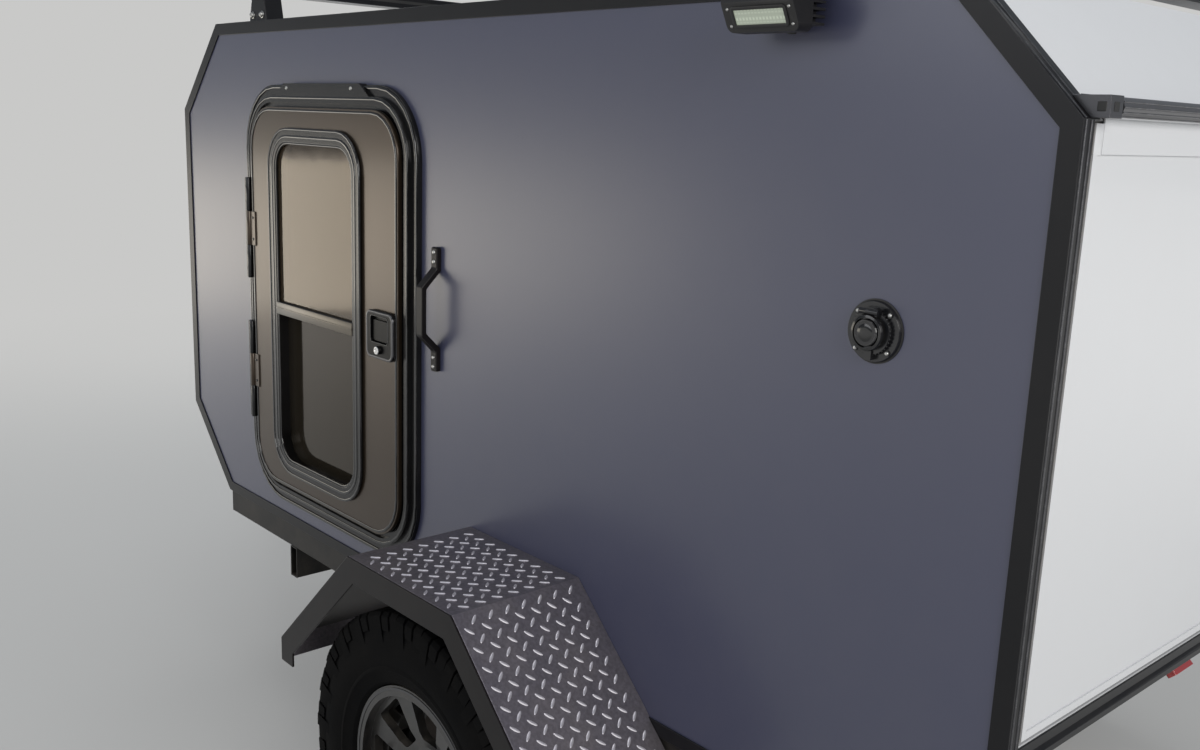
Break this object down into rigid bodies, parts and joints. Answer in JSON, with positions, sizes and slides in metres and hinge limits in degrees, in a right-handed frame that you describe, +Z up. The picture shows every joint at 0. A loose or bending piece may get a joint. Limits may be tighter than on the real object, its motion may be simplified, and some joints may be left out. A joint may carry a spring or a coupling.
{
  "type": "squaredrop trailer",
  "caption": "Small squaredrop camping trailer with chamfered box body, side doors, rear hatch, wide fenders, A-frame tongue and jack.",
  "frame": {"origin": "on the ground, under the middle of the trailer's overall length and width", "axes": "+X forward to the coupler, +Y to the trailer's left, +Z up"},
  "size_m": [3.4224, 2.082, 1.867],
  "materials": {
    "wall_paint": "satin dark slate grey paint",
    "pale_skin": "smooth pale silver-grey paint",
    "floor_board": "sealed plywood",
    "board": "clear-coated birch plywood",
    "black_trim": "black anodised",
    "hinge_black": "dark grey ribbed extrusion",
    "frame_black": "satin black powder coat",
    "door_black": "gloss black-bronze skin",
    "tread_plate": "raised diamond tread plate",
    "chassis_black": "black chassis paint",
    "zinc_steel": "zinc plated",
    "gloss_black": "gloss black",
    "inlet_plastic": "moulded black plastic",
    "lamp_housing": "black cast housing",
    "lamp_lens": "pale diffusing lens",
    "red_lens": "red lens",
    "vent_plastic": "moulded off-white plastic",
    "vent_smoke": "smoked lid",
    "tinted_glass": "dark tinted glass",
    "tyre": "all-terrain rubber",
    "wheel_black": "gloss black alloy with machined edge",
    "drum_iron": "painted cast iron"
  },
  "bodies": {
    "root": {"side_walls": "wall_paint", "floor_panel": "floor_board", "front_panel": "wall_paint", "roof_panel": "pale_skin", "rear_slope_panel": "pale_skin", "rear_foot_panel": "pale_skin", "bulkhead": "board", "counter": "board", "sill_trim": "black_trim", "edge_trims": "black_trim", "hinge_fixed": "hinge_black", "door_frames": "frame_black", "fenders": "tread_plate", "fender_skirts": "black_trim", "side_rails": "chassis_black", "crossmembers": "chassis_black", "tongue_frame": "chassis_black", "coupler": "chassis_black", "jack_tube": "zinc_steel", "axle_beam": "chassis_black", "leaf_springs": "chassis_black", "spring_hangers": "chassis_black", "spring_shackles": "chassis_black", "u_bolts": "zinc_steel", "grab_handle": "gloss_black", "power_inlet": "inlet_plastic", "scene_lamp": "lamp_housing", "scene_lamp_lens": "lamp_lens", "marker_lamps": "red_lens", "tail_lamps": "red_lens", "rack_feet": "black_trim", "rack_bars": "black_trim", "vent_base": "vent_plastic"},
    "hatch": {"hatch_panel": "pale_skin", "hatch_trim": "black_trim", "hatch_hinge": "hinge_black", "hatch_handles": "gloss_black"},
    "door_left": {"door_left": "door_black", "door_window_left": "frame_black", "door_glass_left": "tinted_glass", "door_latch_left": "gloss_black"},
    "door_right": {"door_right": "door_black", "door_window_right": "frame_black", "door_glass_right": "tinted_glass", "door_latch_right": "gloss_black"},
    "wheel_left": {"tyre_left": "tyre", "rim_left": "wheel_black", "hub_left": "drum_iron"},
    "wheel_right": {"tyre_right": "tyre", "rim_right": "wheel_black", "hub_right": "drum_iron"},
    "jack_leg": {"jack_leg": "zinc_steel"},
    "vent_lid": {"vent_lid": "vent_smoke"}
  },
  "joints": [
    {"name": "wheel_left_spin", "type": "hinge", "parent": "root", "child": "wheel_left", "pos_m": [-0.67524, 0.9105, 0.345], "axis": [0, 1, 0], "continuous": true},
    {"name": "wheel_right_spin", "type": "hinge", "parent": "root", "child": "wheel_right", "pos_m": [-0.67524, -0.9105, 0.345], "axis": [0, 1, 0], "continuous": true},
    {"name": "door_left_swing", "type": "hinge", "parent": "root", "child": "door_left", "pos_m": [0.38976, 0.79, 1.12], "axis": [0, 0, -1], "range_deg": [0, 110]},
    {"name": "door_right_swing", "type": "hinge", "parent": "root", "child": "door_right", "pos_m": [0.38976, -0.79, 1.12], "axis": [0, 0, 1], "range_deg": [0, 110]},
    {"name": "hatch_lift", "type": "hinge", "parent": "root", "child": "hatch", "pos_m": [-1.68724, 0, 1.607], "axis": [0, 1, 0], "range_deg": [0, 95]},
    {"name": "jack_slide", "type": "slide", "parent": "root", "child": "jack_leg", "axis": [0, 0, 1], "range_m": [-0.1, 0.28]},
    {"name": "vent_lid_lift", "type": "hinge", "parent": "root", "child": "vent_lid", "pos_m": [0.04076, 0, 1.802], "axis": [0, 1, 0], "range_deg": [0, 70]}
  ]
}
